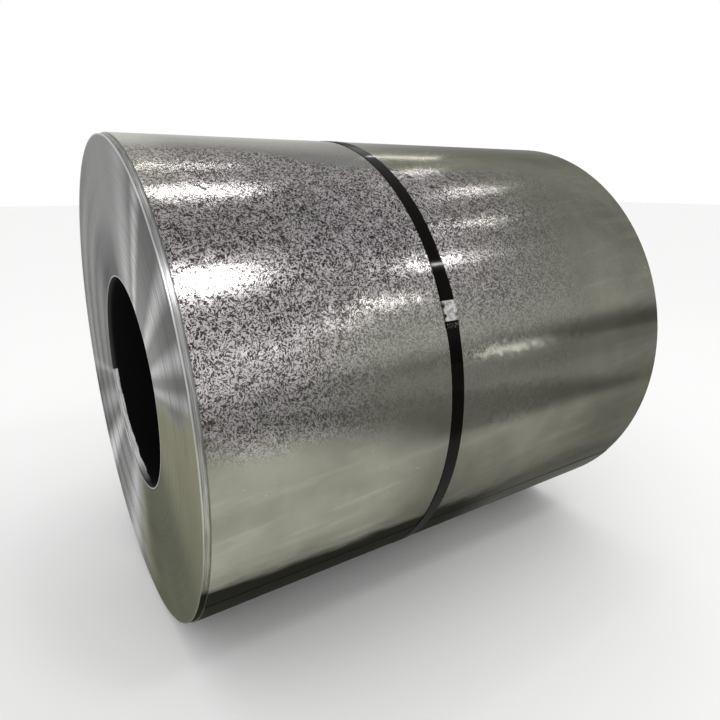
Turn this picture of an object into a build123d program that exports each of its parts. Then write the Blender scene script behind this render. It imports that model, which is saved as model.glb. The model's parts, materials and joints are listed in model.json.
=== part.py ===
from build123d import *
import math
import os

# A coil of hot-dip galvanized steel strip, lying on its side, held by one steel strap with a crimped seal.
# The coil's axis runs along X, from the end that faces the viewer (near) to the other end (far).
# Everything is modelled round the X axis and lifted at the end, so that the strap rests on z = 0.
# Angles are in degrees, seen from the far end: 0 points along +Y, 90 points up, 180 points along -Y.

# The strip and the coil it is wound into, in millimetres
strip_width = 1250.0
sheet_thickness = 1.0
outer_diameter = 1120.0
bore_diameter = 508.0

# How evenly the turns lie, which shows on both ends
turn_groups = 10
group_unevenness = 0.35
mouth_depth = 9.0
group_wander = 1.8
wander_waves = 3.5
inner_turns = 2
outer_turns = 3
outer_setback = 14.0

# The strip's outer end lies on the coil, and its inner end lies in the bore
tail_angle = 215.0
tail_settle_angle = 30.0
head_angle = 352.0
head_settle_angle = 30.0

# The strap round the coil, whose two ends lap under the seal
strap_width = 32.0
strap_thickness = 0.9
strap_from_near_end = 545.0
lap_gap = 0.1
under_end_length = 16.0
free_end_length = 15.0
under_ramp_length = 40.0
over_ramp_length = 75.0

# The seal, a folded sheet sleeve crimped round both layers of the strap
seal_angle = 158.0
seal_length = 42.0
seal_thickness = 1.0
seal_clearance = 0.1
seal_slot = 9.0
seal_bend_radius = 0.8

# The crimping tool's notches, two on each edge, through the seal and both layers
notch_spacing = 19.0
notch_length = 8.0
notch_root_length = 5.5
notch_depth = 4.6
notch_tab_length = 3.6
notch_tab_tilt = 38.0
notch_tab_root = 0.3

outer_radius = outer_diameter / 2
bore_radius = bore_diameter / 2
inner_group_radius = bore_radius + inner_turns * sheet_thickness
outer_group_radius = outer_radius - outer_turns * sheet_thickness
axis_height = outer_radius + strap_thickness

under_layer_radius = outer_radius + seal_clearance + seal_thickness + seal_clearance
over_layer_radius = under_layer_radius + strap_thickness + lap_gap
seal_roof_radius = over_layer_radius + strap_thickness + seal_clearance
seal_top_radius = seal_roof_radius + seal_thickness
seal_half_width = strap_width / 2 + seal_clearance


def polar(radius, angle):
    """A point of the coil's cross-section, in the plane square to its axis."""
    return (radius * math.cos(math.radians(angle)), radius * math.sin(math.radians(angle)))


def arc(start_radius, start_angle, end_radius, end_angle):
    """A round stretch from one point to another, halfway between their radii at the middle."""
    middle_angle = (start_angle + end_angle) / 2
    middle_radius = (start_radius + end_radius) / 2
    return ThreePointArc(
        polar(start_radius, start_angle), polar(middle_radius, middle_angle), polar(end_radius, end_angle)
    )


def arc_angle(length):
    """The angle that a length takes up on the coil's round face."""
    return math.degrees(length / outer_radius)


def group_radii():
    """The radii between the groups of turns, from the inner turns to the outer ones."""
    shares = [1 + group_unevenness * math.sin(2.4 * group) for group in range(turn_groups)]
    span = outer_group_radius - inner_group_radius
    radii = [inner_group_radius]
    for share in shares:
        radii.append(radii[-1] + span * share / sum(shares))
    return radii


def group_depth(group):
    """How far a group of turns lies behind the rim at the near end, and stands out at the far end."""
    inwards = 1 - group / (turn_groups - 1)
    wander = (1 - math.cos(2 * math.pi * wander_waves * inwards)) / 2
    return mouth_depth * inwards**1.5 + group_wander * wander


overall_length = strip_width + max(outer_setback, mouth_depth, *map(group_depth, range(turn_groups)))
rim_x = -overall_length / 2
mouth_x = rim_x + mouth_depth
strap_x = rim_x + strap_from_near_end


def extruded(face, start_x, length):
    """A cross-section made solid along the coil's axis."""
    return Pos(start_x, 0, 0) * extrude(Plane.YZ * face, amount=length)


def turned_body():
    """The turns between the inner and outer ones, turned as one profile with a step at each group."""
    radii = group_radii()
    near = []
    far = []
    for group in range(turn_groups):
        x = rim_x + group_depth(group)
        for radius in (radii[group], radii[group + 1]):
            near.append((x, radius))
            far.append((x + strip_width, radius))
    profile = make_face(Polyline(*near, *reversed(far), close=True))
    return revolve(profile, axis=Axis.X)


def stepped_outline(radius, step_angle, settle_angle, step):
    """A circle with a radial step at one angle, from which it settles back to its radius.

    A positive step lies outside the circle and a negative one inside. The settling stretch is an arc
    that touches the circle where it ends, so only the step shows as an edge.
    """
    end_angle = step_angle + settle_angle
    offset = step / (1 - math.cos(math.radians(settle_angle)))
    middle = radius + offset * (1 - math.cos(math.radians(settle_angle / 2)))
    round_part = arc(radius, end_angle, radius, step_angle + 360)
    edge = Line(polar(radius, step_angle), polar(radius + step, step_angle))
    settling = ThreePointArc(
        polar(radius + step, step_angle),
        polar(middle, step_angle + settle_angle / 2),
        polar(radius, end_angle),
    )
    return make_face([round_part, edge, settling])


def outer_turns_body():
    """The last turns, set back from the rim, with the strip's outer end as a step along the coil."""
    outline = stepped_outline(outer_radius, tail_angle, -tail_settle_angle, -sheet_thickness)
    return extruded(outline - Circle(outer_group_radius), rim_x + outer_setback, strip_width)


def inner_turns_body():
    """The first turns, with the strip's inner end as a step along the bore."""
    outline = stepped_outline(bore_radius, head_angle, head_settle_angle, sheet_thickness)
    return extruded(Circle(inner_group_radius) - outline, mouth_x, strip_width)


def coil():
    """The whole coil: one solid with its bore, whose turns show on its ends."""
    return turned_body() + outer_turns_body() + inner_turns_body()


def strap_band():
    """The strap before it is notched: once round the coil, with its ends lapped at the seal."""
    half_seal = arc_angle(seal_length / 2)
    under_start = seal_angle - half_seal - arc_angle(under_end_length)
    under_end = seal_angle + half_seal
    down = under_end + arc_angle(under_ramp_length)
    over_start = under_start + 360
    up = over_start - arc_angle(over_ramp_length)
    free_end = seal_angle + 360 + half_seal + arc_angle(free_end_length)
    stations = [
        (under_layer_radius, under_start),
        (under_layer_radius, under_end),
        (outer_radius, down),
        (outer_radius, up),
        (over_layer_radius, over_start),
        (over_layer_radius, free_end),
    ]
    edges = []
    for (radius, angle), (next_radius, next_angle) in zip(stations, stations[1:]):
        edges.append(arc(radius, angle, next_radius, next_angle))
        edges.append(arc(radius + strap_thickness, angle, next_radius + strap_thickness, next_angle))
    for radius, angle in (stations[0], stations[-1]):
        edges.append(Line(polar(radius, angle), polar(radius + strap_thickness, angle)))
    return extruded(make_face(edges), strap_x - strap_width / 2, strap_width)


def plane_at(angle):
    """A plane with its y along the radius at an angle, its x along the coil's axis, centred on the strap."""
    around = (0, -math.sin(math.radians(angle)), math.cos(math.radians(angle)))
    return Plane(origin=(strap_x, 0, 0), x_dir=(1, 0, 0), z_dir=around)


def notch_places():
    """Angle and side of each of the crimping tool's notches."""
    half = arc_angle(notch_spacing / 2)
    return [(seal_angle + turn, side) for turn in (-half, half) for side in (-1, 1)]


def notch_cutters():
    """Tapered blocks that take the notches out of the seal and the strap."""
    edge_x = seal_half_width + 2 * seal_thickness
    root_x = strap_width / 2 - notch_depth
    blocks = []
    for angle, side in notch_places():
        outwards = plane_at(angle).y_dir
        plane = Plane(origin=(strap_x, 0, 0), x_dir=(1, 0, 0), z_dir=outwards)
        outline = Polyline(
            (side * root_x, -notch_root_length / 2),
            (side * root_x, notch_root_length / 2),
            (side * edge_x, notch_length / 2),
            (side * edge_x, -notch_length / 2),
            close=True,
        )
        block = extrude(plane * make_face(outline), amount=seal_top_radius + seal_thickness)
        blocks.append(block)
    return blocks


def notch_tabs():
    """The seal's own metal at each notch, which the tool has turned up and outwards."""
    root_x = strap_width / 2 - notch_depth
    tabs = []
    for angle, side in notch_places():
        plate = Pos(notch_tab_length / 2 - notch_tab_root, -seal_thickness / 2, 0) * Box(
            notch_tab_length + notch_tab_root, seal_thickness, notch_root_length
        )
        if side < 0:
            plate = mirror(plate, about=Plane.YZ)
        tilted = Rot(0, 0, side * notch_tab_tilt) * plate
        tabs.append(plane_at(angle) * (Pos(side * root_x, seal_top_radius, 0) * tilted))
    return tabs


def seal_profile():
    """The seal's folded section: a roof, two sides and two flanges that nearly meet under the strap."""
    floor_radius = outer_radius + seal_clearance
    height = seal_top_radius - floor_radius
    width = 2 * (seal_half_width + seal_thickness)
    middle = (seal_top_radius + floor_radius) / 2
    outside = RectangleRounded(width, height, seal_bend_radius + seal_thickness / 2)
    inside = RectangleRounded(
        width - 2 * seal_thickness, height - 2 * seal_thickness, seal_bend_radius - seal_thickness / 2
    )
    slot = Pos(0, -height / 2) * Rectangle(seal_slot, 2 * seal_thickness + height / 2)
    return Pos(0, middle) * (outside - inside - slot)


def seal():
    """The crimped seal, bent to the coil's round face."""
    half_seal = arc_angle(seal_length / 2)
    start = plane_at(seal_angle - half_seal)
    body = revolve(start * seal_profile(), axis=Axis.X, revolution_arc=2 * half_seal)
    for block in notch_cutters():
        body -= block
    for tab in notch_tabs():
        body += tab
    return body


def strap():
    """The finished strap, notched with the seal."""
    band = strap_band()
    for block in notch_cutters():
        band -= block
    return band


os.makedirs("parts", exist_ok=True)
for name, piece in (("coil", coil()), ("strap", strap()), ("seal", seal())):
    export_step(Pos(0, 0, axis_height) * piece, f"parts/{name}.step")
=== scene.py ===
"""A coil of galvanized steel strip with its strap and crimped seal, dressed for rendering.

Run as a script, it models the wound coil, gives the coil, its strap and its seal their finishes, and
sets the stage. Its sizes and colours are properties of the scene, shown in the Coil tab of the 3D view's
sidebar.
"""

import json
import math

import bpy
from mathutils import Matrix, Vector, noise


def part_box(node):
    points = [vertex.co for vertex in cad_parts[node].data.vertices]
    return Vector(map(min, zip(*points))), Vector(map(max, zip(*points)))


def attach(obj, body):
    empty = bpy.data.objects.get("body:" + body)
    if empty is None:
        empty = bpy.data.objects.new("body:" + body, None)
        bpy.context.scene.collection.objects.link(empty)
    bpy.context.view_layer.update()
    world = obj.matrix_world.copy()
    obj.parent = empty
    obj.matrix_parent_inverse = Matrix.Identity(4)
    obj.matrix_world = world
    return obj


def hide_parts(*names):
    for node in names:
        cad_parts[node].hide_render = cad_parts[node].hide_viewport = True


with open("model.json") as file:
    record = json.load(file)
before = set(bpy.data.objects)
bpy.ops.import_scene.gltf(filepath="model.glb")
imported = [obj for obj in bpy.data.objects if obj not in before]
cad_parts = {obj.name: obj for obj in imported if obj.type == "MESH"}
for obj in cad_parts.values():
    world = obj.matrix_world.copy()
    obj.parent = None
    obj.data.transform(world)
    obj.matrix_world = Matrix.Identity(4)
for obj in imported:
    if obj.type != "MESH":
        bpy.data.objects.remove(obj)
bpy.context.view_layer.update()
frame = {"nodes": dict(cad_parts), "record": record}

bl_info = {
    "name": "Steel coil",
    "version": (1, 0, 0),
    "blender": (4, 5, 0),
    "location": "3D View > Sidebar > Coil",
    "description": "Models a strapped coil of galvanized strip and sets its stage",
    "category": "Object",
}

COIL_LOW, COIL_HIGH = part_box("coil")

# The coil's axis runs along X, from the near end to the far end. Angles go round it from +Y, and up is a
# quarter turn. The bore's wall runs from its near mouth to its far one.
MM = 0.001
FULL_TURN = 2 * math.pi
OUTER_RADIUS = (COIL_HIGH.z - COIL_LOW.z) / 2
BORE_RADIUS = frame["record"]["mounts"][0]["dims"]["r_mm"] * MM
AXIS_HEIGHT = frame["record"]["mounts"][0]["pos_m"][2]
NEAR_MOUTH = COIL_LOW.x + 9 * MM
FAR_MOUTH = COIL_HIGH.x - 3 * MM


def size(name, description, default, unit="LENGTH"):
    """A size in metres, or an angle, that a user can change."""
    return bpy.props.FloatProperty(
        name=name, description=description, default=default, unit=unit, precision=5
    )


def colour(name, description, default):
    """A colour that a user can change."""
    return bpy.props.FloatVectorProperty(
        name=name, description=description, default=default, subtype="COLOR", size=3, min=0, max=1
    )


def count(name, description, default):
    """A whole number that a user can change."""
    return bpy.props.IntProperty(name=name, description=description, default=default, min=3)


class CoilSizes(bpy.types.PropertyGroup):
    """How the strip is wound and how finely the coil is modelled."""

    strip_width: size("Strip width", "Width of the strip", 1250 * MM)
    sheet: size("Sheet", "Thickness of the strip", 1.0 * MM)
    outer_step: size("Outer step", "Thickness of the set-back outer turns", 3.0 * MM)
    outer_setback: size("Outer setback", "How far the outer turns lie behind the rim", 14.0 * MM)
    rim_round: size("Rim wear", "How far the rim's corner is worn round", 0.5 * MM)
    mouth_depth: size("Mouth depth", "How far the bore's mouth lies behind the rim", 9.0 * MM)
    wander: size("Wander", "How far groups of turns wander along the axis", 0.7 * MM)
    flutter: size("Flutter", "How far single turns wander along the axis", 0.3 * MM)
    tail_angle: size("Tail angle", "Where the strip's outer end lies", math.radians(215), "ROTATION")
    head_angle: size("Head angle", "Where the strip's inner end lies", math.radians(352), "ROTATION")
    settle_angle: size("Settle angle", "Stretch over which an end's step fades", math.radians(30), "ROTATION")
    bands: count("Bands", "Turns shown on each end", 126)
    steps: count("Steps", "Facets round the coil", 150)


class CoilColours(bpy.types.PropertyGroup):
    """Colours of the coil, its strap, its seal and the floor."""

    zinc_dark: colour("Dark crystal", "Zinc crystals that face away", (0.011, 0.008, 0.008))
    zinc_light: colour("Light crystal", "Zinc crystals that face the light", (0.89, 0.83, 0.845))
    zinc_plain: colour("Plain zinc", "Zinc with no visible crystals", (0.32, 0.32, 0.262))
    zinc_fresh: colour("Fresh zinc", "Zinc that other turns have covered", (0.62, 0.62, 0.62))
    # Painted shade: this near-black stands for shade next to the floor and in the gaps and grooves of the
    # ends
    underside: colour("Underside", "Shaded zinc next to the floor", (0.012, 0.012, 0.008))
    edge: colour("Sheared edge", "Cut edges of the strip", (0.180, 0.187, 0.178))
    # Painted reflection and shade on the ends: darker near the floor, tan below the axis
    edge_low_shade: colour("Low sheared edge", "Cut edges near the floor", (0.112, 0.118, 0.081))
    edge_tan_reflection: colour("Tan sheared edge", "Cut edges below the axis", (0.186, 0.183, 0.116))
    # Painted highlight: the light tone of the fans, the rim and the bore's mouth on the ends
    edge_highlight: colour("Burnished edge", "Cut edges that catch the light", (0.82, 0.82, 0.82))
    # Painted shadow: the bore's wall is given this near-black
    bore: colour("Bore", "Dark wall of the bore", (0.004, 0.004, 0.004))
    strap: colour("Strap", "Black paint of the strap", (0.0025, 0.0018, 0.0014))
    strap_worn: colour("Worn strap", "Paint of the strap where it is rubbed", (0.006, 0.005, 0.004))
    seal: colour("Seal", "Bright zinc of the seal", (0.62, 0.61, 0.59))
    floor: colour("Floor", "Studio floor", (0.95, 0.95, 0.945))


class Channel:
    """One output of a shader node. Arithmetic on it adds Math nodes to its tree."""

    def __init__(self, tree, output=None):
        self.tree = tree
        self.output = output

    def node(self, kind, settings=None, inputs=None, output=0):
        """Adds a node of a type, with its settings first and then its sockets' values or links."""
        made = self.tree.nodes.new(kind)
        for key, value in (settings or {}).items():
            if key == "stops":
                ramp = made.color_ramp
                while len(ramp.elements) < len(value):
                    ramp.elements.new(0.5)
                for element, (position, tone) in zip(ramp.elements, value):
                    element.position = position
                    element.color = (tone, tone, tone, 1)
            else:
                setattr(made, key, value)
        for key, value in (inputs or {}).items():
            socket = made.inputs[key]
            if isinstance(value, Channel):
                self.tree.links.new(value.output, socket)
            elif isinstance(value, tuple) and socket.type == "RGBA":
                socket.default_value = (*value, 1)
            else:
                socket.default_value = value
        return Channel(self.tree, made.outputs[output] if made.outputs else None)

    def maths(self, operation, *values):
        """A Math node on this channel and others."""
        return self.node("ShaderNodeMath", {"operation": operation}, dict(enumerate((self, *values))))

    def __add__(self, other):
        return self.maths("ADD", other)

    __radd__ = __add__

    def __mul__(self, other):
        return self.maths("MULTIPLY", other)

    __rmul__ = __mul__

    def __sub__(self, other):
        return self.maths("SUBTRACT", other)

    def __rsub__(self, other):
        return (self * -1.0) + other

    def __pow__(self, other):
        return self.maths("POWER", other)

    def larger(self, other):
        """The larger of this channel and another."""
        return self.maths("MAXIMUM", other)

    def vector(self, operation, other):
        """A Vector Math node on this channel and another, or a number to scale by."""
        key = "Scale" if operation == "SCALE" else 1
        return self.node("ShaderNodeVectorMath", {"operation": operation}, {0: self, key: other})

    def mix(self, first, second):
        """A colour between two, with this channel as the factor."""
        return self.node(
            "ShaderNodeMix", {"data_type": "RGBA"}, {"Factor": self, "A": first, "B": second}, "Result"
        )

    def ramp(self, low, high, first=0.0, last=1.0):
        """This channel mapped smoothly from one range to another, and held inside it."""
        return self.node(
            "ShaderNodeMapRange",
            {"interpolation_type": "SMOOTHSTEP"},
            {"Value": self, "From Min": low, "From Max": high, "To Min": first, "To Max": last},
        )

    def fall(self, low, high, first=1.0):
        """A smooth fall to nothing over a range of this channel."""
        return self.ramp(low, high, first, 0.0)

    def band(self, low, opened, closing, high, share=1.0):
        """A smooth band of this channel's values, which opens and closes over two ranges."""
        return self.ramp(low, opened) * self.fall(closing, high, share)

    def noise(self, scale, detail=2.0, roughness=0.5, output="Fac"):
        """Smooth noise at this channel's place, with so many waves to a metre."""
        inputs = {"Vector": self, "Scale": scale, "Detail": detail, "Roughness": roughness}
        return self.node("ShaderNodeTexNoise", {}, inputs, output)

    def axes(self):
        """The three parts of a vector or a colour."""
        split = self.node("ShaderNodeSeparateXYZ", {}, {0: self}).output.node
        return [Channel(self.tree, output) for output in split.outputs]


class Place:
    """A place on the coil, as channels: its vector, along the axis, height, radius and angle."""

    def __init__(self, start):
        self.start = start
        self.along, across, self.height = start.axes()
        raised = self.height - AXIS_HEIGHT
        self.radius = (across * across + raised * raised) ** 0.5
        self.angle = raised.maths("ARCTAN2", across)

    def flat(self, along, across):
        """A flat place for a pattern, from two channels."""
        return self.start.node("ShaderNodeCombineXYZ", {}, {"X": along, "Y": across})

    def stretched(self, *factors):
        """This place with its three parts scaled, so that a pattern on it is drawn out."""
        return self.start.vector("MULTIPLY", factors)


def new_material(name):
    """An empty material, and its object coordinates as the first channel."""
    material = bpy.data.materials.new(name)
    material.use_nodes = True
    material.node_tree.nodes.clear()
    start = Channel(material.node_tree)
    return material, start.node("ShaderNodeTexCoord", output="Object")


def finish_material(start, **inputs):
    """Gives the material its surface: one Principled shader with these sockets."""
    named = {key.replace("_", " "): value for key, value in inputs.items()}
    surface = start.node("ShaderNodeBsdfPrincipled", {}, named)
    start.node("ShaderNodeOutputMaterial", {}, {"Surface": surface})


def scaled(tone, factor=1.0):
    """A colour made lighter or darker."""
    return tuple(min(1.0, part * factor) for part in tone)


def bumped(start, height, distance, strength, normal=None):
    """A normal that follows a height, whose full range is a distance in metres."""
    inputs = {"Height": height, "Distance": distance, "Strength": strength}
    if normal:
        inputs["Normal"] = normal
    return start.node("ShaderNodeBump", {}, inputs)


# The zinc's crystals: how many there are to a metre, how ragged their borders are, the feathers grown in
# them and how far their faces tilt. The grazing tint is the zinc's where it is seen nearly edge on.
CRYSTAL_SCALE = 82.0
BORDER_SCALE = 170.0
BORDER_RAGGEDNESS = 0.008
FEATHER_SCALE = 410.0
FEATHER_STRETCH = (0.30, 1.0, 1.0)
CRYSTAL_TILT = 0.032
GRAZING_TINT = (0.61, 0.605, 0.565)


def spangle(place):
    """Zinc crystals on the round face, unrolled and cut open along the coil's underside.

    Gives each crystal's random colour, its tone and the feathers grown in it.
    """
    arc = place.angle.maths("WRAP", 1.5 * math.pi, -0.5 * math.pi) * OUTER_RADIUS
    unrolled = place.flat(place.along, arc)
    warp = unrolled.noise(BORDER_SCALE, 1.0, output="Color")
    warped = warp.vector("SCALE", BORDER_RAGGEDNESS).vector("ADD", unrolled)
    cell = warped.node("ShaderNodeTexVoronoi", {}, {"Vector": warped, "Scale": CRYSTAL_SCALE}, "Color")
    tone, direction = cell.axes()[:2]
    turned = warped.node(
        "ShaderNodeVectorRotate",
        {"rotation_type": "Z_AXIS"},
        {"Vector": warped, "Angle": direction * math.pi},
    )
    feather = turned.vector("MULTIPLY", FEATHER_STRETCH).noise(FEATHER_SCALE, 1.0)
    return cell, tone, feather


def underside_shade_share(place):
    """How far a place lies in the strip of painted shade next to the floor, which fades towards the far end.
    """
    along = place.along
    streaks = place.stretched(1.0, 3.0, 3.0).noise(7.0, 3.0)
    edge = place.height + (streaks - 0.5) * 0.06
    edge = edge - along.fall(-0.55, -0.20, 0.014) - along.ramp(0.10, 0.40, 0.0, 0.020)
    dark = edge.fall(0.270, 0.325) * along.ramp(0.0, 0.25, 1.0, 0.60)
    return dark.larger(edge.fall(0.26, 0.36, 0.60))


def crystal_share(place, drift, patch, crown, corner):
    """How far the crystals show: above a ragged border, less at the crown and towards the far end. This is a
    painted reflection: they show where they reflect the lit surround and fade where they reflect the even
    floor.
    """
    along, height = place.along, place.height
    border = height + (drift - 0.5) * 0.13
    border = border - along.fall(-0.60, -0.25, 0.055) + along.ramp(-0.2, 0.0, 0.0, 0.05)
    shown = border.ramp(AXIS_HEIGHT - 0.035, AXIS_HEIGHT + 0.035)
    shown = shown * (along + (drift - 0.5) * 0.35).ramp(0.10, 0.42, 1.0, 0.10)
    shown = shown * (1 - crown * 0.88)
    shown = shown * patch.ramp(0.3, 0.62, 0.92, 1.0) * (1 - corner * 0.5)
    return shown * along.ramp(-0.55, -0.30, 0.86, 1.0) * height.ramp(0.60, 0.78, 0.84, 1.0)


def crystal_colour(place, colours, tone, feather, corner):
    """Dark and light crystals, with less contrast low down and past the strap; painted light makes them
    lighter towards the near end and the top, on the near corner and low down at the near end.
    """
    along, height = place.along, place.height
    crystal = (feather * 0.94 + tone * 0.06).ramp(0.415, 0.575)
    dark_light = crystal.mix(tuple(colours.zinc_dark), tuple(colours.zinc_light))
    calm = along.ramp(-0.50, -0.20) * height.fall(0.66, 0.90, 0.86)
    past_strap = along.ramp(-0.08, 0.10, 0.0, 0.38) * height.ramp(0.88, 1.02, 1.0, 0.4)
    dark_light = calm.larger(past_strap).mix(dark_light, scaled(colours.zinc_plain, 1.45))
    # Painted light and shade: lighter towards the near end and the top
    lit = along.ramp(-0.60, -0.20, 1.05, 0.84) * along.ramp(-0.15, 0.25, 1.0, 0.74)
    lit = lit * height.ramp(0.60, 0.85, 0.80, 1.0)
    near_low_light = along.fall(-0.60, -0.48, 0.18) * height.fall(0.80, 0.95)
    return dark_light.vector("SCALE", lit + corner * 0.7 + near_low_light)


def plain_colour(place, colours, drift, patch, crown, corner):
    """Zinc with no visible crystals, stained and smeared; painted shade makes it dimmer low down and towards
    the far end, painted light lifts it low down at the near end and on the near corner, and a painted
    reflection pales the crown.
    """
    along, height = place.along, place.height
    stain = (drift * 0.6 + patch * 0.4).ramp(0.3, 0.7)
    plain = stain.mix(scaled(colours.zinc_plain, 0.84), scaled(colours.zinc_plain, 1.14))
    slanted = (place.angle * OUTER_RADIUS + along * 0.10) * 30.0
    smears = place.flat(along * 4.0, slanted).noise(1.0, 3.0)
    plain = (smears.ramp(0.50, 0.72) * 0.30).mix(plain, scaled(colours.zinc_plain, 1.5))
    # Painted reflection: a paler crown towards the near end
    pale = crown * along.fall(-0.18, 0.00)
    plain = pale.mix(plain, scaled(colours.zinc_fresh, 0.66))
    below = height.fall(0.44, 0.64)
    far = (along + (drift - 0.5) * 0.2).ramp(0.20, 0.50)
    # Painted shade low down and towards the far end, painted light low down at the near end
    lit = 1 - below * along.ramp(-0.34, -0.10, 0.0, 0.30) - below * far * 0.34
    lit = lit * along.ramp(0.05, 0.30, 1.0, 0.90)
    lit = lit + height.fall(0.37, 0.48, 0.42) * along.fall(-0.35, -0.08)
    return plain.vector("SCALE", lit + corner * 0.8)


def galvanized_side(colours):
    """The strip's own face: high-contrast crystals above and plain zinc below as a painted reflection,
    painted light and shade in its tones, and painted shade next to the floor.
    """
    material, start = new_material("galvanized_strip")
    place = Place(start)
    along, height = place.along, place.height
    cell, tone, feather = spangle(place)
    # Slow and quick unevenness, the plain strip along the crown, which is a painted reflection, and the
    # painted light on the corner above the near end
    drift = start.noise(5.0, 3.0)
    patch = start.noise(17.0, 3.0)
    crown = height - along.ramp(-0.42, -0.16, 0.0, -0.035) + (patch - 0.5) * 0.03
    crown = crown.ramp(AXIS_HEIGHT + 0.515, AXIS_HEIGHT + 0.530)
    corner = along.fall(-0.61, -0.50) * height.ramp(0.94, 1.06)
    shown = crystal_share(place, drift, patch, crown, corner)
    plain = plain_colour(place, colours, drift, patch, crown, corner)
    base = shown.mix(plain, crystal_colour(place, colours, tone, feather, corner))
    dash = place.stretched(0.16, 1.0, 1.0).noise(330.0, 1.0).ramp(0.77, 0.82)
    base = (dash * (1 - shown) * 0.6).mix(base, scaled(colours.zinc_fresh, 1.2))
    # Painted shade darkens the side next to the floor
    low = underside_shade_share(place)
    base = low.mix(base, tuple(colours.underside))
    tilt = cell.vector("SUBTRACT", (0.5, 0.5, 0.5)).vector("SCALE", shown * CRYSTAL_TILT)
    normal = start.node("ShaderNodeNewGeometry", output="Normal").vector("ADD", tilt)
    normal = normal.node("ShaderNodeVectorMath", {"operation": "NORMALIZE"}, {0: normal})
    finish_material(
        start,
        Base_Color=base,
        Metallic=low * -0.9 + 1,
        Roughness=shown * tone * 0.06 + low * 0.40 + 0.15,
        Normal=normal,
        Specular_IOR_Level=0.02,
        Specular_Tint=GRAZING_TINT,
        Coat_Weight=shown * (1 - low) * 0.3,
        Coat_Roughness=0.2,
    )
    return material


def exposed_turn(colours):
    """The face of the turn that shows where the outer turns are set back: painted light makes it lighter
    towards the top, with painted highlight lines along the rim and painted shade in its groove, under the
    outer turns and next to the floor.
    """
    material, start = new_material("exposed_turn")
    place = Place(start)
    height = place.height
    behind = place.along - COIL_LOW.x
    ragged = behind + (start.noise(26.0, 2.0) - 0.5) * 2.5 * MM
    streak = place.stretched(14.0, 1.0, 1.0).noise(26.0, 3.0)
    # Painted light: lighter towards the top
    bare = height.ramp(0.42, 0.80).mix(scaled(colours.zinc_plain), scaled(colours.zinc_fresh, 0.72))
    base = bare.vector("SCALE", streak.ramp(0.35, 0.65, 0.72, 1.12))
    # Painted highlights, not wear: lines along the rim, stronger towards the top
    line = behind.fall(1.4 * MM, 2.4 * MM)
    second = ragged.band(7.8 * MM, 8.4 * MM, 9.0 * MM, 9.8 * MM)
    worn = line.larger(second * 0.5) * height.ramp(0.25, 0.85, 0.20, 0.8)
    base = worn.mix(base, scaled(colours.zinc_fresh, 1.45))
    # Painted shade in the groove, in the gap under the outer turns and next to the floor
    groove = ragged.band(2.6 * MM, 3.0 * MM, 3.8 * MM, 4.6 * MM, 0.28)
    gap = ragged.ramp(11.4 * MM, 12.6 * MM) * height.ramp(0.40, 0.85, 0.22, 0.40)
    shade = gap.larger(groove).larger(underside_shade_share(place))
    base = shade.mix(base, tuple(colours.underside))
    roughness = shade * 0.3 + 0.3
    finish_material(
        start, Base_Color=base, Metallic=1.0, Roughness=roughness, Specular_Tint=GRAZING_TINT
    )
    return material


# Painted fan highlights on the ends, where the turns' edges catch the light: angle and spread in degrees, and
# brightness at the bore and at the rim
FAN_HIGHLIGHTS = (
    (112, 11, 0.48, 0.22),
    (125.5, 5, 0.85, 0.62),
    (145.5, 5.5, 0.86, 0.60),
    (159, 4, 0.72, 0.50),
    (167, 3, 0.54, 0.34),
    (281, 17, 0.50, 0.10),
    (288, 11, 0.70, 1.00),
    (299, 14, 0.24, 0.24),
    (320, 8, 0.95, 1.20),
    (312, 16, 0.18, 0.20),
    (336, 8, 0.62, 0.22),
    (351, 3, 0.45, 0.25),
)


def fan_highlights(turned, outwards):
    """Painted highlights where the turns' edges catch the light: fans that spread from the bore."""
    total = None
    for degrees, spread, inner, outer in FAN_HIGHLIGHTS:
        apart = (turned - math.radians(degrees)).maths("ABSOLUTE")
        fan = apart.fall(0.0, math.radians(spread)) * (outwards * (outer - inner) + inner)
        total = fan if total is None else total + fan
    return total


def sector(turned, *degrees):
    """The share of a sector of the face, which opens and closes between two pairs of degrees."""
    return turned.band(*map(math.radians, degrees))


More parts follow.
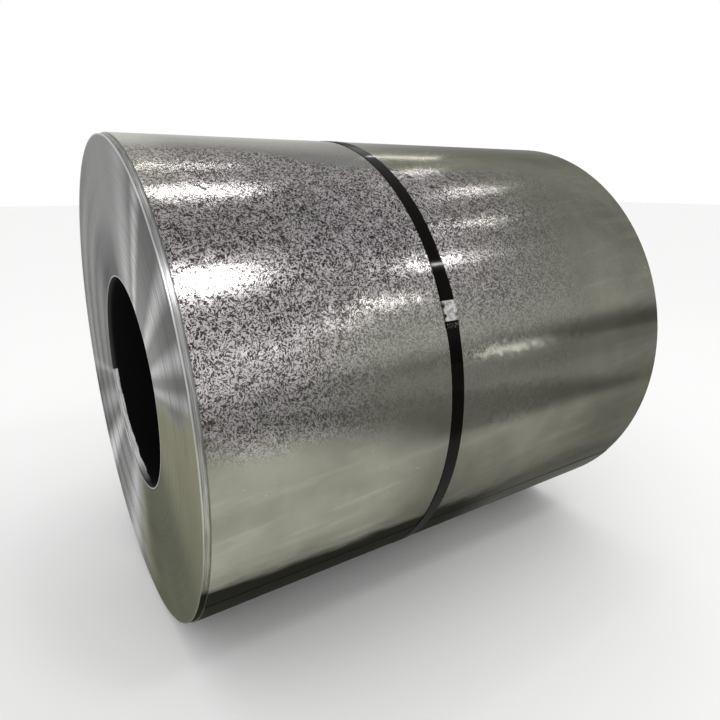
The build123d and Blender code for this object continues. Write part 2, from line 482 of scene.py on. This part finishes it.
def turn_edges(colours):
    """The sheared edges of the turns on the coil's ends, with fine rings, painted highlights in fans, on the
    rim and at the bore's mouth, and painted reflections and shade in sectors round the face.
    """
    material, start = new_material("sheared_turn_edges")
    place = Place(start)
    radius, height = place.radius, place.height
    turned = place.angle.maths("WRAP", FULL_TURN, 0.0)
    outwards = radius.ramp(BORE_RADIUS, OUTER_RADIUS)
    rings = place.flat(radius, place.angle.maths("SINE") * 0.004)
    fine = rings.noise(520.0, 2.0, 0.6)
    soft = start.noise(6.0, 1.0)
    swayed = turned + (soft - 0.5) * 0.25
    # Painted reflections and shade: grey, tan and dark sectors round the face, and a darker patch near the
    # bore, stand for what the face reflects
    grey = sector(swayed, 112, 128, 168, 176) + sector(turned, 296, 304, 342, 354)
    tan = sector(swayed, 168, 176, 262, 296)
    low = sector(swayed, 190, 218, 252, 278)
    near_bore = sector(turned, 28, 62, 88, 104) * radius.fall(BORE_RADIUS, OUTER_RADIUS - 0.10, 0.85)
    plain = (grey * (outwards * 0.50 + 0.15)).mix(tuple(colours.edge), scaled(colours.edge, 0.10))
    plain = tan.mix(plain, tuple(colours.edge_tan_reflection))
    plain = low.mix(plain, tuple(colours.edge_low_shade))
    plain = plain.vector("SCALE", fine.ramp(0.3, 0.7, 0.90, 1.10) * soft.ramp(0.3, 0.7, 0.92, 1.08))
    plain = plain.vector("SCALE", 1 - near_bore)
    # Painted highlights, not wear or rubbing: fans broken up by fine rings and noise, the rim stronger
    # towards the top, and a light ring at the bore's mouth
    worn = rings.noise(230.0, 2.0, 0.6).ramp(0.38, 0.62, 0.45, 1.0)
    fans = fan_highlights(turned, outwards) * fine.ramp(0.35, 0.65, 0.65, 1.0) * worn
    rubbed = height.ramp(0.25, 0.85, 0.08, 0.65) + fans * 0.8
    rim = radius.ramp(OUTER_RADIUS - 7 * MM, OUTER_RADIUS - 4.5 * MM) * rubbed
    mouth = radius.fall(BORE_RADIUS + 2.0 * MM, BORE_RADIUS + 3.5 * MM, 0.40)
    painted_highlights = fans.larger(rim).larger(mouth)
    base = painted_highlights.mix(plain, tuple(colours.edge_highlight))
    # Painted shade: the rim's corner darker low down, and a dark ring in the gap near the bore's mouth
    corner = radius.ramp(OUTER_RADIUS - 3.6 * MM, OUTER_RADIUS - 3.4 * MM) * height.fall(0.35, 0.90, 0.80)
    base = corner.mix(base, tuple(colours.edge_tan_reflection))
    gap = radius.band(*(BORE_RADIUS + part * MM for part in (3.5, 4.5, 5.0, 6.5)))
    base = (gap * 0.5).mix(base, tuple(colours.underside))
    metal = 1 - grey * (outwards * 0.42 + 0.08) - tan * 0.60 - low * 0.25 - near_bore * 0.30
    finish_material(
        start,
        Base_Color=base,
        Metallic=metal + (1 - metal) * painted_highlights,
        Roughness=0.38,
        Normal=bumped(start, fine, 0.2 * MM, 0.25),
        Specular_IOR_Level=0.0,
    )
    return material


def bore_wall(colours):
    """The bore's wall, which painted shadow turns black a short way in, with a zinc lip below the strip's
    inner end that is lifted above the zinc's own tone as a painted highlight.
    """
    material, start = new_material("dark_bore_wall")
    place = Place(start)
    along, angle = place.along, place.angle
    from_near = along - NEAR_MOUTH
    from_far = FAR_MOUTH - along
    depth = from_near.maths("MINIMUM", from_far)
    under_head = angle.band(-1.75, -1.1, -0.14, -0.13)
    ragged = depth + (start.noise(22.0, 3.0) - 0.5) * (12 * MM) - angle.fall(-1.2, -0.2, 4 * MM)
    drawn = place.flat(along, angle * 0.015).noise(300.0, 3.0)
    lip = ragged.fall(12.5 * MM, 13.5 * MM) * drawn.ramp(0.35, 0.60, 0.60, 1.0)
    groove = depth.band(3.0 * MM, 3.6 * MM, 4.6 * MM, 5.4 * MM)
    lip = lip * under_head * (1 - groove * 0.55)
    # Painted shadow deepens inwards from each mouth; the lip is a painted highlight
    shallow = depth.fall(0.0, 16 * MM, 0.06)
    base = shallow.larger(lip).mix(tuple(colours.bore), scaled(colours.zinc_fresh, 1.6))
    finish_material(start, Base_Color=base, Roughness=0.5, Specular_IOR_Level=0.1)
    return material


def strap_paint(colours):
    """Black baked paint on the strap, a little worn, and scuffed beside the seal."""
    material, start = new_material("black_strap_paint")
    place = Place(start)
    height = place.height
    grain = place.stretched(8.0, 1.0, 1.0).noise(260.0, 2.0)
    base = start.noise(900.0, 3.0).ramp(0.62, 0.8).mix(tuple(colours.strap), tuple(colours.strap_worn))
    beside_seal = place.angle.band(2.801, 2.804, 2.819, 2.824)
    scuffs = start.noise(420.0, 1.0).ramp(0.55, 0.62) * beside_seal
    base = (scuffs * 0.35).mix(base, scaled(colours.zinc_plain, 0.8))
    roughness = grain * 0.03 + height.ramp(0.25, 0.50, 0.42, 0.04) + height.ramp(1.085, 1.11, 0.0, 0.40)
    normal = bumped(start, grain, 0.03 * MM, 0.3)
    finish_material(start, Base_Color=base, Roughness=roughness, Specular_IOR_Level=0.06, Normal=normal)
    return material


def seal_zinc(colours):
    """Bright zinc of the seal with the crimping tool's dents and scuffs."""
    material, start = new_material("seal_zinc")
    dents = start.noise(95.0, 1.0)
    soft = start.noise(260.0, 3.0)
    scuff = start.vector("MULTIPLY", (1.0, 6.0, 6.0)).noise(300.0, 2.0)
    tone = (dents * 0.55 + soft * 0.25 + scuff * 0.20).ramp(0.36, 0.60)
    base = tone.mix(scaled(colours.seal, 0.30), scaled(colours.seal, 1.30))
    normal = bumped(start, scuff, 0.2 * MM, 0.6, bumped(start, dents, 4 * MM, 0.8))
    finish_material(start, Base_Color=base, Metallic=1.0, Roughness=0.28, Normal=normal)
    return material


# How the turns lie: how many show in the bore's mouth, the waves in which groups of them wander, the noise
# by which single ones flutter and the share of the way in over which it sets in, and how far forward each
# of the set-back outer turns stands
INNER_TURNS = 2
WANDER_WAVES = 3.5
FLUTTER_SCALE = 900
FLUTTER_PLACE = (0.3, 0.7)
FLUTTER_START = 0.125
OUTER_TURNS_FORWARD = (1.6 * MM, 0.7 * MM, 0.0)

# How the skin's two spins are merged, how closely its radii are told apart, how squarely a face of the ends
# looks along the axis, and past what angle an edge stays sharp
MERGE_DISTANCE = 0.02 * MM
TOLERANCE = 0.01 * MM
END_FACE_LIMIT = 0.6
SHARP_ANGLE = math.radians(30)


def deselect():
    """Leaves object mode with nothing selected."""
    if bpy.context.mode != "OBJECT":
        bpy.ops.object.mode_set(mode="OBJECT")
    bpy.ops.object.select_all(action="DESELECT")


def on_coil(along, radius, angle):
    """A point of the coil, from its place along the axis, radius and angle."""
    return Vector((along, radius * math.cos(angle), AXIS_HEIGHT + radius * math.sin(angle)))


def outline_object(name, points, angle):
    """A closed outline of (along, radius) points, extruded point by point at one angle."""
    deselect()
    bpy.ops.mesh.primitive_plane_add(size=MM, location=(0, 0, 0))
    made = bpy.context.active_object
    made.name = name
    bpy.ops.object.mode_set(mode="EDIT")
    bpy.ops.mesh.select_mode(type="VERT")
    bpy.ops.mesh.merge(type="CENTER")
    place = on_coil(*points[0], angle)
    bpy.ops.transform.translate(value=place)
    for along, radius in points[1:]:
        after = on_coil(along, radius, angle)
        bpy.ops.mesh.extrude_vertices_move(TRANSFORM_OT_translate={"value": after - place})
        place = after
    bpy.ops.object.mode_set(mode="OBJECT")
    for vertex in made.data.vertices:
        vertex.select = vertex.index in (0, len(points) - 1)
    bpy.ops.object.mode_set(mode="EDIT")
    bpy.ops.mesh.edge_face_add()
    bpy.ops.mesh.select_all(action="SELECT")
    return made


def spin_round(angle, steps):
    """Spins the selected outline round the coil's axis, towards larger angles."""
    bpy.ops.mesh.spin(
        steps=steps, angle=-angle, center=(0, 0, AXIS_HEIGHT), axis=(1, 0, 0), use_auto_merge=False
    )
    bpy.ops.object.mode_set(mode="OBJECT")


def turn_depth(radius, sizes):
    """How far a turn lies behind the rim at the near end."""
    inner = BORE_RADIUS + INNER_TURNS * sizes.sheet
    outer = OUTER_RADIUS - sizes.outer_step
    inwards = min(1, max(0, (outer - radius) / (outer - inner)))
    wander = sizes.wander * (1 - math.cos(FULL_TURN * WANDER_WAVES * inwards)) / 2
    flutter = sizes.flutter * (0.5 + 0.5 * noise.noise(Vector((radius * FLUTTER_SCALE, *FLUTTER_PLACE))))
    set_in = min(1, inwards / FLUTTER_START)
    return sizes.mouth_depth * inwards**1.5 + wander + flutter * set_in


def coil_outline(sizes):
    """Half of the coil's section: the turns' edges on both ends, the bore's wall and the outer turns."""
    rim = COIL_LOW.x
    inner = BORE_RADIUS + sizes.sheet
    outer = OUTER_RADIUS - sizes.outer_step
    near = []
    for band in range(sizes.bands):
        low = inner + (outer - inner) * band / sizes.bands
        high = inner + (outer - inner) * (band + 1) / sizes.bands
        depth = turn_depth((low + high) / 2, sizes)
        near.append((rim + depth, low))
        near.append((rim + depth, high))
    near.insert(0, (near[0][0], BORE_RADIUS))
    near[-1] = (rim, outer - sizes.rim_round)
    near.append((rim + sizes.rim_round, outer))
    for turn, forward in enumerate(OUTER_TURNS_FORWARD):
        back = rim + sizes.outer_setback - forward
        near.append((back, outer + turn * sizes.sheet))
        near.append((back, outer + (turn + 1) * sizes.sheet))
    far = [(along + sizes.strip_width, radius) for along, radius in near]
    return near + far[::-1]


def ease(angle, span):
    """From 1 at no angle down to 0 at a span, level at both ends."""
    share = max(0.0, angle / span)
    return (1 + math.cos(math.pi * share)) / 2 if share < 1 else 0.0


def settle_ends(part, turn, sizes):
    """Lets the turn behind the strip's inner end, and the one under its outer end, show as a step."""
    for vertex in part.data.vertices:
        across = vertex.co.y
        up = vertex.co.z - AXIS_HEIGHT
        radius = math.hypot(across, up)
        angle = math.atan2(up, across)
        after_head = (angle - sizes.head_angle + TOLERANCE) % FULL_TURN - TOLERANCE
        if abs(radius - OUTER_RADIUS) < TOLERANCE:
            radius -= sizes.sheet * ease(turn - after_head, sizes.settle_angle)
        elif abs(radius - BORE_RADIUS) < TOLERANCE:
            radius += sizes.sheet * ease(after_head, sizes.settle_angle)
        vertex.co = on_coil(vertex.co.x, radius, angle)


def spun_coil(sizes):
    """The coil's skin in two spins, which meet at the strip's outer and inner ends."""
    outline = coil_outline(sizes)
    first_turn = sizes.head_angle - sizes.tail_angle
    first_steps = round(sizes.steps * first_turn / FULL_TURN)
    made = outline_object("coil_skin", outline, sizes.tail_angle)
    spin_round(first_turn, first_steps)
    rest = outline_object("coil_skin_rest", outline, sizes.head_angle)
    spin_round(FULL_TURN - first_turn, sizes.steps - first_steps)
    settle_ends(rest, FULL_TURN - first_turn, sizes)
    deselect()
    rest.select_set(True)
    made.select_set(True)
    bpy.context.view_layer.objects.active = made
    bpy.ops.object.join()
    bpy.ops.object.mode_set(mode="EDIT")
    bpy.ops.mesh.select_all(action="SELECT")
    bpy.ops.mesh.remove_doubles(threshold=MERGE_DISTANCE)
    bpy.ops.mesh.fill_holes(sides=4)
    bpy.ops.mesh.select_all(action="SELECT")
    bpy.ops.mesh.normals_make_consistent(inside=False)
    bpy.ops.object.mode_set(mode="OBJECT")
    return made


def paint_coil(made, sizes, colours):
    """Gives each face of the coil the finish that its place calls for."""
    side, edges, bore, exposed = range(4)
    for finish in (galvanized_side, turn_edges, bore_wall, exposed_turn):
        made.data.materials.append(finish(colours))
    bore_limit = BORE_RADIUS + 1.5 * sizes.sheet
    side_limit = OUTER_RADIUS - 1.5 * sizes.sheet
    exposed_limit = OUTER_RADIUS - 1.2 * sizes.outer_step
    for face in made.data.polygons:
        radius = math.hypot(face.center.y, face.center.z - AXIS_HEIGHT)
        if abs(face.normal.x) > END_FACE_LIMIT:
            face.material_index = edges
        elif radius < bore_limit:
            face.material_index = bore
        elif radius > side_limit:
            face.material_index = side
        elif radius > exposed_limit:
            face.material_index = exposed
        else:
            face.material_index = edges


def smooth(made):
    """Smooth shading, with sharp edges kept."""
    deselect()
    made.select_set(True)
    bpy.context.view_layer.objects.active = made
    bpy.ops.object.shade_smooth_by_angle(angle=SHARP_ANGLE)


class CoilOperator:
    """What the coil's operators share."""

    bl_options = {"REGISTER", "UNDO"}


class OBJECT_OT_add_steel_coil(CoilOperator, bpy.types.Operator):
    """Model the coil of galvanized strip."""

    bl_idname = "object.add_steel_coil"
    bl_label = "Steel coil"

    def execute(self, context):
        sizes = context.scene.coil_sizes
        made = spun_coil(sizes)
        made.name = "wound_coil"
        paint_coil(made, sizes, context.scene.coil_colours)
        smooth(made)
        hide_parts("coil")
        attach(made, "root")
        return {"FINISHED"}


class OBJECT_OT_add_coil_strap(CoilOperator, bpy.types.Operator):
    """Finish the strap and its seal."""

    bl_idname = "object.add_coil_strap"
    bl_label = "Strap and seal"

    def execute(self, context):
        for node, finish in (("strap", strap_paint), ("seal", seal_zinc)):
            materials = frame["nodes"][node].data.materials
            materials.clear()
            materials.append(finish(context.scene.coil_colours))
        return {"FINISHED"}


class OBJECT_OT_set_coil_stage(CoilOperator, bpy.types.Operator):
    """Lay the floor, light the studio and place the camera."""

    bl_idname = "object.set_coil_stage"
    bl_label = "Stage"

    def execute(self, context):
        lay_floor(context.scene.coil_colours)
        light_world()
        hang_lamps()
        place_camera()
        context.scene.view_settings.view_transform = "Standard"
        return {"FINISHED"}


# The stage: the floor's size, the greys of the surround that the metal reflects, from the horizon at 0 to
# straight up at 1, in front of the coil and behind it, and the camera
FLOOR_SIZE = 60
FRONT_SKY = (
    (0.0, 0.30),
    (0.06, 0.40),
    (0.15, 0.74),
    (0.34, 0.60),
    (0.60, 0.48),
    (0.78, 0.44),
    (0.90, 0.33),
    (1.0, 0.31),
)
BACK_SKY = (
    (0.0, 0.70),
    (0.30, 1.0),
    (0.46, 1.0),
    (0.62, 0.52),
    (0.79, 0.51),
    (0.90, 0.35),
    (1.0, 0.31),
)
CAMERA_PLACE = Vector((-0.8502, -1.3719, 1.0180))
CAMERA_YAW = 0.5702
CAMERA_PITCH = -0.3024
CAMERA_LENS = 28.2926
SENSOR_WIDTH = 36.0
CAMERA_REACH = 200


def lay_floor(colours):
    """A large plain floor, which the metal reflects darker further off and to the right."""
    deselect()
    bpy.ops.mesh.primitive_plane_add(size=FLOOR_SIZE, location=(0, 0, 0))
    floor = bpy.context.active_object
    floor.name = "floor"
    material, start = new_material("studio_floor")
    right, back = start.axes()[:2]
    distance = back * -1.0
    glossy = start.node("ShaderNodeLightPath", output="Is Glossy Ray")
    to_right = distance.ramp(0.98, 1.18) * right.ramp(-0.1, 0.7, 0.0, 0.74) * right.ramp(1.5, 2.0, 1.0, 0.6)
    dim = glossy * distance.ramp(1.0, 3.2, 0.0, 0.58).larger(to_right)
    base = dim.mix(tuple(colours.floor), (0.0, 0.0, 0.0))
    finish_material(start, Base_Color=base, Roughness=0.9)
    floor.data.materials.append(material)


def light_world():
    """A white surround, which the metal reflects in greys, darker overhead and to the right."""
    world = bpy.data.worlds.new("studio")
    bpy.context.scene.world = world
    world.use_nodes = True
    world.node_tree.nodes.clear()
    start = Channel(world.node_tree)
    right, back, up = start.node("ShaderNodeTexCoord", output="Generated").axes()
    front = up.node("ShaderNodeValToRGB", {"stops": FRONT_SKY}, {0: up})
    behind = up.node("ShaderNodeValToRGB", {"stops": BACK_SKY}, {0: up})
    low_right = right.ramp(0.50, 0.70) * up.fall(0.06, 0.15, 0.50)
    back_right = right.ramp(0.40, 0.68) * up.fall(0.42, 0.60, 0.55)
    front = front.vector("SCALE", 1 - low_right)
    behind = behind.vector("SCALE", 1 - back_right)
    tone = back.ramp(-0.12, 0.12).mix(front, behind)
    glossy = start.node("ShaderNodeLightPath", output="Is Glossy Ray")
    seen = glossy.mix((1.0, 1.0, 1.0), tone)
    light = start.node("ShaderNodeBackground", {}, {"Color": seen, "Strength": 1.0})
    start.node("ShaderNodeOutputWorld", {}, {"Surface": light})


def place_camera():
    """The camera at the photograph's viewing angle."""
    bpy.ops.object.camera_add(
        location=CAMERA_PLACE, rotation=(math.pi / 2 + CAMERA_PITCH, 0, -CAMERA_YAW)
    )
    camera = bpy.context.active_object
    camera.name = "photo_camera"
    camera.data.lens = CAMERA_LENS
    camera.data.sensor_width = SENSOR_WIDTH
    camera.data.clip_end = CAMERA_REACH
    bpy.context.scene.camera = camera


# Lamps, by the streak that each makes on the coil's side: its place along the axis and its angle in
# degrees, the streak's length, the lamp's width and its radiance
LAMPS = (
    ("first_row_near", -0.570, 146.8, 0.095, 0.38, 20.0),
    ("second_row_near", -0.525, 127.6, 0.180, 0.12, 11.0),
    ("third_row_near", -0.530, 119.5, 0.170, 0.03, 9.0),
    ("first_row_1", -0.495, 160.4, 0.090, 0.12, 1.6),
    ("first_row_2", -0.345, 157.7, 0.075, 0.10, 3.0),
    ("first_row_3", -0.240, 154.6, 0.090, 0.10, 7.0),
    ("strap_bar", -0.085, 147.05, 0.036, 0.028, 115.0),
    ("beside_strap", -0.150, 147.6, 0.090, 0.09, 1.8),
    ("first_row_4", 0.000, 147.4, 0.090, 0.08, 2.2),
    ("first_row_5", 0.065, 138.3, 0.100, 0.055, 8.5),
    ("first_row_6", 0.120, 128.2, 0.115, 0.09, 7.0),
    ("second_row_4", 0.010, 120.4, 0.085, 0.09, 6.5),
    ("third_row_4", 0.010, 112.8, 0.170, 0.07, 6.5),
    ("low_row", 0.060, 168.2, 0.120, 0.05, 9.0),
)
LAMP_DISTANCE = 3.0


def hang_lamps():
    """Lamps whose reflections lie where the photograph's streaks are on the coil's side."""
    for name, along, degrees, length, width, radiance in LAMPS:
        angle = math.radians(degrees)
        place = on_coil(along, OUTER_RADIUS, angle)
        normal = Vector((0, math.cos(angle), math.sin(angle)))
        sight = (CAMERA_PLACE - place).normalized()
        mirrored = 2 * sight.dot(normal) * normal - sight
        there = place + mirrored * LAMP_DISTANCE
        bpy.ops.object.light_add(type="AREA", location=there)
        lamp = bpy.context.active_object
        lamp.name = f"lamp_{name}"
        lamp.data.shape = "RECTANGLE"
        away = (CAMERA_PLACE - place).length
        reach = (LAMP_DISTANCE + away) / away
        lamp.data.size = length * reach
        lamp.data.size_y = width
        lamp.data.energy = radiance * math.pi * lamp.data.size * lamp.data.size_y
        lamp.visible_camera = False
        side = Vector((1, 0, 0))
        side = (side - side.dot(mirrored) * mirrored).normalized()
        turn = Matrix((side, mirrored.cross(side), mirrored)).transposed()
        lamp.matrix_world = Matrix.Translation(there) @ turn.to_4x4()


class VIEW3D_PT_steel_coil(bpy.types.Panel):
    """Lists the coil's operators, sizes and colours."""

    bl_idname = "VIEW3D_PT_steel_coil"
    bl_label = "Steel coil"
    bl_space_type = "VIEW_3D"
    bl_region_type = "UI"
    bl_category = "Coil"

    def draw(self, context):
        for operator in OPERATORS:
            self.layout.operator(operator.bl_idname)
        for name in GROUPS:
            group = getattr(context.scene, name)
            box = self.layout.box()
            for field in group.__annotations__:
                box.prop(group, field)


OPERATORS = (OBJECT_OT_add_steel_coil, OBJECT_OT_add_coil_strap, OBJECT_OT_set_coil_stage)
GROUPS = {"coil_sizes": CoilSizes, "coil_colours": CoilColours}


def register():
    """Adds the operators, the panel and the scene's sizes and colours."""
    for shown in (*GROUPS.values(), *OPERATORS, VIEW3D_PT_steel_coil):
        bpy.utils.register_class(shown)
    for name, group in GROUPS.items():
        setattr(bpy.types.Scene, name, bpy.props.PointerProperty(type=group))


def unregister():
    """Takes them away again."""
    for name in GROUPS:
        delattr(bpy.types.Scene, name)
    for shown in (VIEW3D_PT_steel_coil, *reversed(OPERATORS), *reversed(GROUPS.values())):
        bpy.utils.unregister_class(shown)


def main():
    """Models the coil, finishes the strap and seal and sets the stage."""
    register()
    bpy.ops.object.add_steel_coil()
    bpy.ops.object.add_coil_strap()
    bpy.ops.object.set_coil_stage()


if __name__ == "__main__":
    main()
